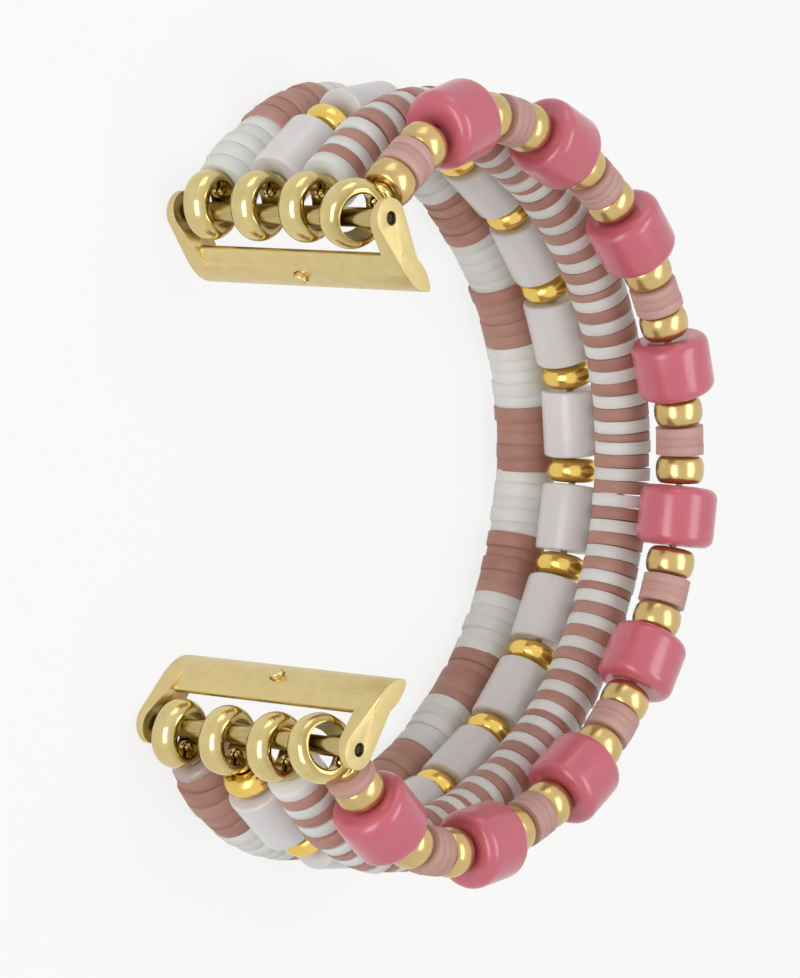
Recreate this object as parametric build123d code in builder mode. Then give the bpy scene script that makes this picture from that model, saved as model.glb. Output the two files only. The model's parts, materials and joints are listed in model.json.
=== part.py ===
"""Elastic bead watch band, lying on its side as a closed loop. Units are millimetres.

X runs from the twelve o'clock end (upper, -X) to the six o'clock end (lower, +X), Y from the
watch to the back of the wrist, and Z across the four strands, from the floor up.
"""
import os
from math import acos, asin, atan2, ceil, cos, degrees, hypot, pi, radians, sin

from build123d import *

os.makedirs("parts", exist_ok=True)

# Driving sizes of the band
bar_spacing = 47.8
end_radius = 17.0
end_run = 9.5
loop_centre_share = 0.484
strand_gap = 0.1
bead_play = 0.02

# Clay discs of strands 1 and 3
disc_radius = 3.0
disc_length = 1.22
disc_bore = 0.55
discs_per_block = 5
thin_disc_share = 0.6
thin_disc_every = 6

# White tubes and gold rondelles of strand 2
tube_radius = disc_radius
tube_length = 6.6
tube_bore = 0.75
rondelle_radius_share = 0.9
rondelle_radius = disc_radius * rondelle_radius_share
rondelle_length = 2.4
rondelle_edge = 0.75
rondelle_bore = 0.6

# Pink barrels, gold spacers and dusty discs of strand 4
pink_count = 9
pink_radius = 4.0
pink_length = 5.85
pink_bore = 0.7
pink_edge = 0.7
spacer_radius = 2.5
spacer_length = 2.64
spacer_edge = 0.5
spacer_bore = 0.6
dusty_radius = 2.5
dusty_length = 0.9
dusty_bore = 0.55
dusty_per_group = 3

# Small clear bead at the lower end of strand 1
clear_radius = 2.4
clear_length = 1.6
clear_bore = 0.55

# Elastic cord and its end knots
cord_radius = 0.35
cord_cut_gap = 0.06
knot_radius = 0.6
knot_length = 0.7
knot_standoff = 0.15

# Gold rings that hang on the spring bars
first_ring_lift = 0.475
last_ring_drop = 1.275
ring_bore = 2.2
ring_outer = 3.3
ring_width = 2.8
ring_shoulder = 2.6
ring_dome = 3.1
ring_dome_share = 0.7
ring_play = 0.05
boss_height = 0.2
boss_root = 0.55
boss_radius = 1.25
eyelet_bore = 0.5

# Slide-in adapter, narrower than the row of strands by the inset
adapter_inset = 0.1
rail_length = 5.5
rail_thickness = 2.2
rail_tip = 0.4
rail_tilt = 36.0
rail_inset = 4.7
rail_setback = 3.6
ear_radius = 1.85
ear_root_radius = 1.05
ear_root_share = 0.33
ear_root_thickness = 2.1
ear_bar_thickness = 1.35
ear_flare = 0.3
ear_hole = 0.65
cut_overrun = 1.0

# Spring bar
bar_radius = 0.9
bar_wall = 0.22
bar_lip = 0.35
bar_end_gap = 0.3
plunger_tip = 0.55
plunger_play = 0.05
plunger_engagement = 0.85
plunger_stem_length = 3.4
spring_wall = 0.2
slide_play = 0.04

# Latch in the middle of the rail
latch_radius = 0.75
latch_height = 0.45
latch_depth = 1.35
latch_wall = 0.2
latch_crown = 0.35
latch_edge = 0.15

# Faces round the repeated beads
bead_sides = 12
disc_sides = 8
pink_sides = 16
bore_sides = 4
cord_sides = 6
ring_sides = 16
cord_step = 10.0

strand_radii = [disc_radius, tube_radius, disc_radius, pink_radius]
strand_z = [disc_radius]
for lower, upper in zip(strand_radii, strand_radii[1:]):
    strand_z.append(strand_z[-1] + lower + strand_gap + upper)
strand_contact = [disc_radius, rondelle_radius - rondelle_edge, disc_radius, spacer_radius]
strand_count = len(strand_z)
adapter_width = strand_z[-1] + pink_radius - adapter_inset

# Rings: each turns on the bar until its eyelet lines up with its strand
ring_low = strand_z[0] + first_ring_lift
ring_pitch = (strand_z[-1] - last_ring_drop - ring_low) / (strand_count - 1)
ring_z = [ring_low + i * ring_pitch for i in range(strand_count)]
ring_tilt = [degrees(asin((strand_z[i] - ring_z[i]) / ring_outer)) for i in range(strand_count)]


def ring_hang(tilt):
    """How far a ring's centre sits from the bar's centre, towards its strand."""
    lean = radians(abs(tilt))
    return ring_bore * cos(lean) - ring_width / 2 * sin(lean) - bar_radius - ring_play


ring_reach = [ring_hang(t) + ring_outer * cos(radians(t)) + boss_height for t in ring_tilt]

# Bead orders, from the upper end to the lower end
bead_length = {
    "pink": pink_length,
    "spacer": spacer_length,
    "dusty": dusty_length,
    "dusty_group": dusty_length * dusty_per_group,
    "tube": tube_length,
    "rondelle": rondelle_length,
    "rose": disc_length,
    "white": disc_length,
    "rose_thin": disc_length * thin_disc_share,
    "rose_block": disc_length * discs_per_block,
    "white_block": disc_length * discs_per_block,
    "clear": clear_length,
}
pink_order = ["spacer", "dusty_group", "spacer"]
for number in range(pink_count - 1):
    pink_order += ["pink", "spacer", "dusty_group", "spacer"]
pink_order += ["pink", "spacer", "dusty"]


def order_length(order):
    return sum(bead_length[kind] + bead_play for kind in order) + bead_play


class Route:
    """The strands' common centre line: run, end arc, main arc, end arc, run."""

    def __init__(self, radius):
        self.radius = radius
        self.centre = radius * loop_centre_share
        span = hypot(self.centre, bar_spacing / 2)
        bar_angle = pi - atan2(bar_spacing / 2, self.centre)
        side = radius - end_radius
        reach = hypot(end_run, end_radius)
        apex = acos((span**2 + side**2 - reach**2) / (2 * span * side))
        self.main_angle = bar_angle - apex
        self.end_x = side * sin(self.main_angle)
        self.end_y = side * cos(self.main_angle)
        bar_turn = atan2(bar_spacing / 2 - self.end_x, -self.centre - self.end_y)
        self.full_angle = bar_turn - atan2(end_run, end_radius)
        self.main_half = radius * self.main_angle
        self.arcs_half = self.main_half + end_radius * (self.full_angle - self.main_angle)
        self.half = self.arcs_half + end_run

    def laid(self, reach, contact):
        """Length along the beads' inner contact line, for a reach along the centre line."""
        main = min(reach, self.main_half) * (self.radius - contact) / self.radius
        end = min(max(reach - self.main_half, 0), self.arcs_half - self.main_half)
        run = max(reach - self.arcs_half, 0)
        return main + end * (end_radius - contact) / end_radius + run

    def reach(self, laid, contact):
        """The inverse of laid."""
        main_laid = self.laid(self.main_half, contact)
        arcs_laid = self.laid(self.arcs_half, contact)
        if laid <= main_laid:
            return laid * self.radius / (self.radius - contact)
        if laid <= arcs_laid:
            return self.main_half + (laid - main_laid) * end_radius / (end_radius - contact)
        return self.arcs_half + laid - arcs_laid

    def at(self, place):
        """X, Y and heading in radians, for a place measured from the band's middle."""
        reach = abs(place)
        way = 1 if place >= 0 else -1
        if reach <= self.main_half:
            turn = reach / self.radius
            return way * self.radius * sin(turn), self.radius * cos(turn), way * turn
        turn = self.main_angle + (min(reach, self.arcs_half) - self.main_half) / end_radius
        run = max(reach - self.arcs_half, 0)
        x = self.end_x + end_radius * sin(turn) + run * cos(turn)
        y = self.end_y + end_radius * cos(turn) - run * sin(turn)
        return way * x, y, way * turn


def fitted_route():
    """The route whose pink strand holds its beads with no slack."""
    contact = strand_contact[-1]
    needed = order_length(pink_order) / 2
    low = bar_spacing / 2
    high = bar_spacing
    for step in range(60):
        middle = (low + high) / 2
        route = Route(middle)
        if route.laid(route.half - ring_reach[-1], contact) < needed:
            low = middle
        else:
            high = middle
    return route


route = fitted_route()
bar_turn = route.full_angle


def filled(length, repeats):
    """An order that takes turns through repeats until length is full."""
    order = []
    while order_length(order + [repeats[len(order) % len(repeats)]]) <= length:
        order.append(repeats[len(order) % len(repeats)])
    return order


def laid_length(strand):
    return 2 * route.laid(route.half - ring_reach[strand], strand_contact[strand])


# Each strand's beads; the lower end of strand 1 closes with the clear bead
block_order = filled(laid_length(0) - clear_length - bead_play, ["white_block", "rose_block"])
tube_order = filled(laid_length(1), ["tube", "rondelle"])
stripe = ["white", "rose"] * (thin_disc_every - 1) + ["white", "rose_thin"]
stripe_order = filled(laid_length(2), stripe)
orders = [block_order + ["clear"], tube_order, stripe_order, pink_order]


def placed(strand):
    """Kind, place along the centre line, and both ends, for each bead of a strand."""
    order = orders[strand]
    contact = strand_contact[strand]
    beads_length = sum(bead_length[kind] for kind in order)
    play = (laid_length(strand) - beads_length) / (len(order) + 1)
    cursor = play - laid_length(strand) / 2
    beads = []
    for kind in order:
        ends = []
        for laid in (cursor, cursor + bead_length[kind] / 2, cursor + bead_length[kind]):
            way = 1 if laid >= 0 else -1
            ends.append(way * route.reach(abs(laid), contact))
        beads.append((kind, ends[1], ends[0], ends[2]))
        cursor += bead_length[kind] + play
    return beads


strands = [placed(strand) for strand in range(strand_count)]
pink_places = [place for kind, place, start, stop in strands[-1] if kind == "pink"]

# The band bends at two places between its arcs, beside pink beads
first_back_pink = pink_count // 3
first_lower_pink = 2 * pink_count // 3
arc_names = ["upper", "back", "lower"]
bend_places = [
    pink_places[first_back_pink - 1] + pink_length / 2 + spacer_length,
    pink_places[first_lower_pink] - pink_length / 2 - spacer_length,
]

# The origin lies under the middle of the band's box
pink_reach = []
for place in pink_places:
    x, y, turn = route.at(place)
    half_length = pink_length / 2 - pink_edge
    side = 1 if x > 0 else -1
    x += side * (pink_radius * abs(sin(turn)) + half_length * abs(cos(turn)))
    y += pink_radius * cos(turn) + half_length * abs(sin(turn))
    pink_reach.append((x, y))
left_reach = min(x for x, y in pink_reach)
right_reach = max(x for x, y in pink_reach)
back_reach = max(y for x, y in pink_reach)
front_reach = -route.centre + min(ring_hang(t) for t in ring_tilt) * sin(bar_turn) - ring_outer
loop_x = -(left_reach + right_reach) / 2
loop_y = -(back_reach + front_reach) / 2
bar_y = loop_y - route.centre


def strand_plane(place, z):
    """The plane square to a strand at a place along it, with x outwards and y up."""
    x, y, turn = route.at(place)
    heading = (cos(turn), -sin(turn), 0)
    return Plane((loop_x + x, loop_y + y, z), x_dir=(sin(turn), cos(turn), 0), z_dir=heading)


def arc_of(place):
    if place < bend_places[0]:
        return "upper"
    if place > bend_places[1]:
        return "lower"
    return "back"


def save(part, name):
    part.label = name
    export_step(part, f"parts/{name}.step")


def bead(radius, length, bore, sides, edge=0):
    """One bead along Z, centred on the origin, with its edge broken and a bore for the cord."""
    with BuildPart() as blank:
        with BuildSketch():
            RegularPolygon(radius, sides)
            RegularPolygon(bore, bore_sides, major_radius=False, mode=Mode.SUBTRACT)
        extrude(amount=length / 2, both=True)
        if edge:
            rims = []
            for face in blank.faces().filter_by(Axis.Z):
                rims += face.outer_wire().edges()
            chamfer(rims, edge)
    return blank.part


blanks = {
    "pink": bead(pink_radius, pink_length, pink_bore, pink_sides, pink_edge),
    "spacer": bead(spacer_radius, spacer_length, spacer_bore, disc_sides, spacer_edge),
    "dusty": bead(dusty_radius, dusty_length, dusty_bore, disc_sides),
    "dusty_group": bead(dusty_radius, bead_length["dusty_group"], dusty_bore, disc_sides),
    "tube": bead(tube_radius, tube_length, tube_bore, bead_sides),
    "rondelle": bead(rondelle_radius, rondelle_length, rondelle_bore, disc_sides, rondelle_edge),
    "clear": bead(clear_radius, clear_length, clear_bore, bead_sides),
}
for kind in ("rose", "white", "rose_thin"):
    blanks[kind] = bead(disc_radius, bead_length[kind], disc_bore, disc_sides)
for kind in ("rose_block", "white_block"):
    blanks[kind] = bead(disc_radius, bead_length[kind], disc_bore, bead_sides)

# Node names of the beads that share a node within an arc
shared_nodes = {
    (0, "rose_block"): "strand_1_rose_discs",
    (0, "white_block"): "strand_1_white_discs",
    (1, "tube"): "strand_2_white_tubes",
    (1, "rondelle"): "strand_2_gold_rondelles",
    (2, "rose"): "strand_3_rose_discs",
    (2, "rose_thin"): "strand_3_rose_discs",
    (2, "white"): "strand_3_white_discs",
    (3, "spacer"): "strand_4_gold_spacers",
    (3, "dusty"): "strand_4_dusty_discs",
    (3, "dusty_group"): "strand_4_dusty_discs",
}


def strand_beads():
    """Every bead in its seat, by node name."""
    nodes = {}
    pinks = 0
    for strand, beads in enumerate(strands):
        for kind, place, start, stop in beads:
            if kind == "pink":
                pinks += 1
                name = f"pink_bead_{pinks}"
            elif kind == "clear":
                name = "clear_end_bead"
            else:
                name = arc_of(place) + "_" + shared_nodes[strand, kind]
            seat = strand_plane(place, strand_z[strand])
            nodes.setdefault(name, []).append(blanks[kind].moved(seat.location))
    return nodes


for name, solids in strand_beads().items():
    with BuildPart() as beads:
        add(solids)
    save(beads.part, name)


def cord_points(start, stop):
    """Places along a stretch of cord, close enough that straight runs stay in the bores."""
    arcs = [-route.arcs_half, -route.main_half, route.main_half, route.arcs_half]
    joints = [start] + [joint for joint in arcs if start < joint < stop] + [stop]
    places = [start]
    for low, high in zip(joints, joints[1:]):
        turn = degrees(route.at(high)[2] - route.at(low)[2])
        steps = max(ceil(turn / cord_step), 1)
        places += [low + (high - low) * step / steps for step in range(1, steps + 1)]
    return places


def cord_stretch(start, stop, z):
    """A stretch of cord along the centre line, between two places."""
    with BuildPart() as cord:
        with BuildLine() as line:
            Polyline(*[strand_plane(place, z).origin for place in cord_points(start, stop)])
        with BuildSketch(strand_plane(start, z)):
            RegularPolygon(cord_radius, cord_sides)
        sweep(path=line.wire(), transition=Transition.RIGHT)
    return cord.part


def knot_place(strand):
    """Distance from the bar's centre to the strand side of a cord's end knot."""
    lean = radians(abs(ring_tilt[strand]))
    bore_reach = ring_bore * cos(lean) - ring_width / 2 * sin(lean)
    return ring_hang(ring_tilt[strand]) + bore_reach - knot_standoff


def knot(strand, way):
    """The knot that stops a cord inside its ring."""
    place = way * (route.half - knot_place(strand))
    with BuildPart() as lump:
        with BuildSketch(strand_plane(place, strand_z[strand])):
            RegularPolygon(knot_radius, cord_sides)
        extrude(amount=way * knot_length)
    return lump.part


def cord_cuts(strand):
    """Where a strand's cord is divided between the arcs."""
    cuts = []
    for bend in bend_places:
        starts = [start for kind, place, start, stop in strands[strand] if place > bend]
        cuts.append(min(starts) - bead_play / 2)
    return cuts


for arc in arc_names:
    with BuildPart() as cords:
        for strand in range(strand_count):
            cuts = cord_cuts(strand)
            reach = route.half - knot_place(strand)
            start, stop = {
                "upper": (-reach, cuts[0] - cord_cut_gap / 2),
                "back": (cuts[0] + cord_cut_gap / 2, cuts[1] - cord_cut_gap / 2),
                "lower": (cuts[1] + cord_cut_gap / 2, reach),
            }[arc]
            add(cord_stretch(start, stop, strand_z[strand]))
            if arc != "back":
                add(knot(strand, -1 if arc == "upper" else 1))
    save(cords.part, f"{arc}_elastic_cords")


def end_plane(way, reach, z, tilt=0):
    """The plane at a reach from a bar's centre towards its strands, with x along the strand."""
    strand = Vector(-way * cos(bar_turn), sin(bar_turn), 0)
    along = strand * cos(radians(tilt)) + Vector(0, 0, sin(radians(tilt)))
    axis = Vector(0, 0, cos(radians(tilt))) - strand * sin(radians(tilt))
    bar = Vector(loop_x + way * bar_spacing / 2, bar_y, z)
    return Plane(bar + strand * reach, x_dir=along, z_dir=axis)


def ring(strand, way):
    """One domed ring on its bar, with the boss and eyelet that its cord leaves by."""
    tilt = ring_tilt[strand]
    hang = ring_hang(tilt)
    seat = end_plane(way, hang, ring_z[strand], tilt)
    boss_seat = end_plane(way, ring_reach[strand] - boss_height - boss_root, strand_z[strand])
    boss_seat = Plane(boss_seat.origin, x_dir=(0, 0, 1), z_dir=boss_seat.x_dir)
    eyelet_seat = end_plane(way, knot_place(strand), strand_z[strand])
    eyelet_seat = Plane(eyelet_seat.origin, x_dir=(0, 0, 1), z_dir=eyelet_seat.x_dir)
    hoop_rims = [(-1, ring_shoulder), (-ring_dome_share, ring_dome), (0, ring_outer)]
    hoop_rims += [(-share, radius) for share, radius in reversed(hoop_rims[:2])]
    with BuildPart() as hoop:
        for share, radius in hoop_rims:
            with BuildSketch(seat.offset(share * ring_width / 2)):
                RegularPolygon(radius, ring_sides)
        loft(ruled=True)
        with BuildSketch(seat.offset(-ring_width)):
            RegularPolygon(ring_bore, ring_sides, major_radius=False)
        extrude(amount=2 * ring_width, mode=Mode.SUBTRACT)
        with BuildSketch(boss_seat):
            RegularPolygon(boss_radius, disc_sides)
        extrude(amount=boss_root + boss_height)
        with BuildSketch(eyelet_seat):
            RegularPolygon(eyelet_bore, cord_sides, major_radius=False)
        extrude(amount=ring_outer + cut_overrun, mode=Mode.SUBTRACT)
    return hoop.part


def on_end(part, way):
    """The lower end's piece, or its mirror image for the upper end."""
    if way > 0:
        return part
    return part.mirror(Plane.YZ.offset(loop_x))


# Adapter, drawn for the lower end with the bar's centre on X = bar_x
bar_x = loop_x + bar_spacing / 2
lean = radians(rail_tilt)
rail_centre = Vector(bar_x - rail_inset, bar_y + rail_setback, 0)
rail_along = Vector(-sin(lean), cos(lean), 0)
watch_side = Vector(-cos(lean), -sin(lean), 0)
bar_centre = Vector(bar_x, bar_y, 0)
latch_place = rail_centre + Vector(0, 0, adapter_width / 2)
pocket_floor = latch_place + watch_side * (rail_thickness / 2 - latch_depth)
ear_root = rail_centre - rail_along * (rail_length / 2 * ear_root_share)
ear_run = ear_root - bar_centre


def ear_face(bar_height, root_height):
    """The slanted plane through a height over the bar's centre and one over the ear's root."""
    rise = (root_height - bar_height) / ear_run.length
    normal = Vector(0, 0, 1) - ear_run.normalized() * rise
    return Plane(bar_centre + Vector(0, 0, bar_height), z_dir=normal)


with BuildPart() as ear:
    with BuildSketch():
        with Locations((bar_centre.X, bar_centre.Y)):
            Circle(ear_radius)
        with Locations((ear_root.X, ear_root.Y)):
            Circle(ear_root_radius)
        make_hull()
    extrude(amount=ear_root_thickness + cut_overrun)
    split(bisect_by=ear_face(ear_bar_thickness, ear_root_thickness), keep=Keep.BOTTOM)
    split(bisect_by=ear_face(ear_flare, 0), keep=Keep.TOP)

with BuildPart() as adapter:
    with BuildSketch(Plane(rail_centre, x_dir=rail_along, z_dir=(0, 0, 1))) as almond:
        with BuildLine():
            ThreePointArc((-rail_length / 2, 0), (0, rail_thickness / 2), (rail_length / 2, 0))
            ThreePointArc((rail_length / 2, 0), (0, -rail_thickness / 2), (-rail_length / 2, 0))
        make_face()
        fillet(almond.vertices(), rail_tip)
    extrude(amount=adapter_width)
    add(ear.part)
    add(ear.part.mirror(Plane.XY.offset(adapter_width / 2)))
    with BuildSketch():
        with Locations((bar_centre.X, bar_centre.Y)):
            RegularPolygon(ear_hole, bead_sides, major_radius=False)
    extrude(amount=adapter_width, mode=Mode.SUBTRACT)
    with BuildSketch(Plane(pocket_floor, x_dir=(0, 0, 1), z_dir=watch_side)):
        RegularPolygon(latch_radius + slide_play, disc_sides)
    extrude(amount=latch_depth + cut_overrun, mode=Mode.SUBTRACT)

# Spring bar: a lipped tube, two plungers that bear on its lips, and the spring between them
tube_low = ear_bar_thickness + bar_end_gap
tube_high = adapter_width - tube_low
stem_radius = bar_radius - bar_wall - slide_play
with BuildPart() as bar_tube:
    with BuildSketch(Plane.XY.offset(tube_low)):
        with Locations((bar_centre.X, bar_centre.Y)):
            Circle(bar_radius)
            RegularPolygon(bar_radius - bar_wall, disc_sides, major_radius=False, mode=Mode.SUBTRACT)
    extrude(amount=tube_high - tube_low)

stem_low = tube_low + bar_lip
tip_low = ear_bar_thickness - plunger_engagement
with BuildPart() as plunger:
    with BuildSketch(Plane.XY.offset(tip_low)):
        with Locations((bar_centre.X, bar_centre.Y)):
            RegularPolygon(plunger_tip, disc_sides)
    extrude(amount=stem_low - tip_low)
    with BuildSketch(Plane.XY.offset(stem_low)):
        with Locations((bar_centre.X, bar_centre.Y)):
            RegularPolygon(stem_radius, disc_sides)
    extrude(amount=plunger_stem_length)

spring_low = stem_low + plunger_stem_length
with BuildPart() as bar_spring:
    with BuildSketch(Plane.XY.offset(spring_low)):
        with Locations((bar_centre.X, bar_centre.Y)):
            RegularPolygon(stem_radius, disc_sides)
            RegularPolygon(stem_radius - spring_wall, disc_sides, mode=Mode.SUBTRACT)
    extrude(amount=adapter_width - 2 * spring_low)

# Latch: a cupped button in the rail's pocket, over its spring pressed solid
button_foot = latch_height + slide_play
cup_depth = latch_depth - latch_crown
with BuildPart() as latch_button:
    with BuildSketch(Plane(pocket_floor + watch_side * button_foot, x_dir=(0, 0, 1), z_dir=watch_side)):
        RegularPolygon(latch_radius, disc_sides)
    extrude(amount=latch_depth)
    crown = latch_button.faces().sort_by(Axis(pocket_floor, watch_side))[-1]
    chamfer(crown.edges(), latch_edge)
    with BuildSketch(Plane(pocket_floor + watch_side * button_foot, x_dir=(0, 0, 1), z_dir=watch_side)):
        RegularPolygon(latch_radius - latch_wall, disc_sides, major_radius=False)
    extrude(amount=cup_depth, mode=Mode.SUBTRACT)

with BuildPart() as latch_spring:
    with BuildSketch(Plane(pocket_floor, x_dir=(0, 0, 1), z_dir=watch_side)):
        RegularPolygon(latch_radius - latch_wall - slide_play, disc_sides)
        RegularPolygon(latch_radius - 2 * latch_wall - slide_play, disc_sides, mode=Mode.SUBTRACT)
    extrude(amount=cup_depth)

for end, way in (("upper", -1), ("lower", 1)):
    save(on_end(adapter.part, way), f"{end}_adapter")
    save(on_end(bar_tube.part, way), f"{end}_bar_tube")
    save(on_end(plunger.part, way), f"{end}_bar_plunger_a")
    far_plunger = plunger.part.mirror(Plane.XY.offset(adapter_width / 2))
    save(on_end(far_plunger, way), f"{end}_bar_plunger_b")
    save(on_end(bar_spring.part, way), f"{end}_bar_spring")
    save(on_end(latch_button.part, way), f"{end}_latch_button")
    save(on_end(latch_spring.part, way), f"{end}_latch_spring")
    for strand in range(strand_count):
        save(ring(strand, way), f"{end}_ring_{strand + 1}")

# The figures that the joints and openings are stated with
print(f"loop radius {route.radius:.4f}, centre {loop_x:.4f} {loop_y:.4f}, bars y {bar_y:.4f}")
print(f"arc ends {degrees(route.main_angle):.3f} {degrees(bar_turn):.3f}, half {route.half:.3f}")
print("strand heights", [round(z, 3) for z in strand_z])
print("ring heights", [round(z, 3) for z in ring_z], "tilts", [round(t, 2) for t in ring_tilt])
for strand, beads in enumerate(strands):
    plays = beads[1][2] - beads[0][3]
    print("strand", strand + 1, "beads", len(beads), "first gap", round(plays, 4))
for bend in bend_places:
    x, y, turn = route.at(bend)
    print("bend", round(loop_x + x, 3), round(loop_y + y, 3), "heading", round(degrees(turn), 3))
for place in pink_places:
    x, y, turn = route.at(place)
    print("pink", round(loop_x + x, 4), round(loop_y + y, 4), "heading", round(degrees(turn), 4))
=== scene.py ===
"""Elastic bead watch band, finished for rendering. Metres, on the frame's axes.

The band lies on its side, as a loop that is open between its two adapters: strand 1 is on the
floor and the pink strand on top. Each kind of bead is made once about Z, and copied to the seats
that the frame's solids give.
"""

import json
import math
import random

import bmesh
import bpy
import numpy as np
from mathutils import Matrix, Vector


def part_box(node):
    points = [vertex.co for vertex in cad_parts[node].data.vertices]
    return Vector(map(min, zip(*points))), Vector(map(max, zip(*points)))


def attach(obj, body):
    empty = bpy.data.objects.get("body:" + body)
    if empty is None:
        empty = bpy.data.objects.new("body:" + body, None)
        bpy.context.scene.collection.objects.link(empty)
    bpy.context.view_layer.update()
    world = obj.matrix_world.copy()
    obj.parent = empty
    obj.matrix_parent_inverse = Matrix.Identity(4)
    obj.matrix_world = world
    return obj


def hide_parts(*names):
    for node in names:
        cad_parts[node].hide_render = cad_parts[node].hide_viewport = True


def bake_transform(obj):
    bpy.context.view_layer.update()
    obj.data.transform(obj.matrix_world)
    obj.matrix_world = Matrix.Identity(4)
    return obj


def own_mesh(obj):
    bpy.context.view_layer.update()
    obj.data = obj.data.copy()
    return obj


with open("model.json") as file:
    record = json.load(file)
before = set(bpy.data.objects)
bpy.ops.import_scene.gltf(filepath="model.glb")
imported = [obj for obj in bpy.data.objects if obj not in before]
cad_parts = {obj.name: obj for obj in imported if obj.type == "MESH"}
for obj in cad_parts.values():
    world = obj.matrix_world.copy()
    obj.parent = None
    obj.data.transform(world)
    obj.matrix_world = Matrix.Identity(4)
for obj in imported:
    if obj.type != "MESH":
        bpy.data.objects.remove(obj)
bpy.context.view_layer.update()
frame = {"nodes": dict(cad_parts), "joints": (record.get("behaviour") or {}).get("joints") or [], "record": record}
random.seed(7)

mm = 0.001

# What the band is made up of
ends = ("upper", "lower")
arcs = ("upper", "back", "lower")
strand_numbers = range(1, 5)
pink_numbers = range(1, 10)

# How round each kind of bead's rims are, and the softened mouth of its hole
pink_rim = 1.05 * mm
tube_rim = 0.3 * mm
spacer_rim = 0.58 * mm
spacer_dome = 2.1
rondelle_rim = 1.18 * mm
clear_rim = 0.6 * mm
mouth_rim = 0.12 * mm
bead_bore = 0.6 * mm
pink_bore = 0.8 * mm

# Clay discs, punched from a rolled cane, so no two sit quite alike
disc_thickness = 1.17 * mm
dusty_thickness = 0.87 * mm
disc_rim = 0.04 * mm
pressed_rim = 0.02 * mm
pressed_swell = 1.04
pressed_shift = 0.2
striped_shift = 0.6
disc_shift = 0.2 * mm
disc_lift = 0.05 * mm
disc_swell = 0.02
disc_lean = math.radians(0.6)
disc_sides = 24

# Share of their solids' radius that the beads of strands 3 and 4 have
strand_3_share = 0.93
strand_4_share = 0.95

# Rings, cords and adapter
ring_radius = 3.3 * mm
ring_bore = 2.2 * mm
ring_width = 2.8 * mm
ring_rim = 1.07 * mm
ring_dome = 1.28
boss_radius = 1.25 * mm
boss_length = 0.9 * mm
boss_rim = 0.2 * mm
eyelet_radius = 0.5 * mm
pin_radius = 0.42 * mm
pin_head_radius = 0.55 * mm
pin_head_length = 0.9 * mm
pin_head_rim = 0.42 * mm
pin_depth = 1.55 * mm
sleeve_rim = boss_rim / 4
pin_sides = 32
cord_radius = 0.35 * mm
machined_edge = 0.14 * mm

# Spring bar and latch
bar_radius = 0.9 * mm
bar_bore = 0.68 * mm
bar_edge = 0.08 * mm
stem_radius = 0.6 * mm
stem_length = 3.4 * mm
tip_radius = 0.5 * mm
tip_edge = 0.15 * mm
wire_radius = 0.1 * mm
wire_sides = 8
wire_turn_steps = 24
bar_spring_radius = 0.48 * mm
bar_spring_half_turns = 13
latch_spring_radius = 0.34 * mm
latch_spring_turns = 3
button_radius = 0.66 * mm
button_length = 1.35 * mm
button_wall = 0.2 * mm
button_cup = 1.0 * mm
button_edge = 0.15 * mm
edge_steps = 3

# Patterns of the materials: the size of one patch, dent or line, then how deep skin, dents and glow go
bloom_size = 1.1 * mm
grain_size = 0.17 * mm
cloud_size = 3.8 * mm
peel_size = 0.55 * mm
haze_size = 1.4 * mm
dent_size = 0.85 * mm
drawn_line_size = 0.125 * mm
flow_line_size = 1.0 * mm
skin_depth = 0.05 * mm
dent_depth = 0.1 * mm
clay_glow = 0.6 * mm
ceramic_glow = 0.8 * mm

# How much the finishes vary
bloom_share = 0.35
tone_range = 0.65
# How the painted shade and dark reflection grows down a gold piece's flank, and how strong it gets
painted_shade_power = 1.4
painted_shade_share = 0.9
haze_low = 0.35
haze_high = 0.65
haze_share = 0.15
drawn_line_stretch = 0.05
clay_unevenness = 0.08
glaze_unevenness = 0.04
gold_unevenness = 0.05
steel_unevenness = 0.08
clear_unevenness = 0.08

# Colour sockets of a Mix node
mix_first = 6
mix_second = 7
mix_result = 2

# A face looks along an axis when this share of its normal, or more, is along it
facing = 0.9
# A direction this close to the YZ plane counts as in it
level_limit = 1e-4
# Corners of the CAD mesh are one corner when they fall on the same step
steps_per_metre = 1e7
rim_tolerance = 0.01 * mm
weld_distance = 0.001 * mm

# In degrees: up to where pieces are shaded smooth, what is flat and what is a sharp edge
smooth_angle = 40
rod_smooth_angle = 50
thread_smooth_angle = 60
flat_angle = 2
sharp_angle = 35

# Camera, as far away and turned as the photograph was taken
camera_distance = 0.468
camera_turn = math.radians(39.4)
camera_rise = math.radians(1.54)
camera_roll = math.radians(3.46)
camera_lens = 221.8
camera_sensor = 36.0
aim_behind_bars = 21.3 * mm
aim_across = -1.82 * mm
aim_towards_end = 0.96 * mm

# Room
room_light = 0.34
floor_glow_share = 0.82
floor_size = 6


def box_middle(node):
    low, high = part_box(node)
    return (low + high) / 2


bar_low, bar_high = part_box("lower_bar_tube")
bar_y = (bar_low.y + bar_high.y) / 2
band_middle = (box_middle("lower_adapter") + box_middle("upper_adapter")) / 2


# Materials
def linear(code):
    """An sRGB hex colour as linear values."""
    shares = [int(code[i:i + 2], 16) / 255 for i in (1, 3, 5)]
    return [s / 12.92 if s <= 0.04045 else ((s + 0.055) / 1.055) ** 2.4 for s in shares] + [1.0]


def add_node(tree, kind, inputs=None, **settings):
    """Adds a node with its settings; an input takes another node's output or a value."""
    node = tree.nodes.new(kind)
    for name, value in settings.items():
        setattr(node, name, value)
    for name, value in (inputs or {}).items():
        if isinstance(value, bpy.types.NodeSocket):
            tree.links.new(value, node.inputs[name])
        else:
            node.inputs[name].default_value = value
    return node


def new_material(name):
    """An empty material and its node tree."""
    material = bpy.data.materials.new(name)
    material.use_nodes = True
    material.node_tree.nodes.clear()
    return material, material.node_tree


def finish_material(tree, shader):
    add_node(tree, "ShaderNodeOutputMaterial", {"Surface": shader.outputs["BSDF"]})


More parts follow.
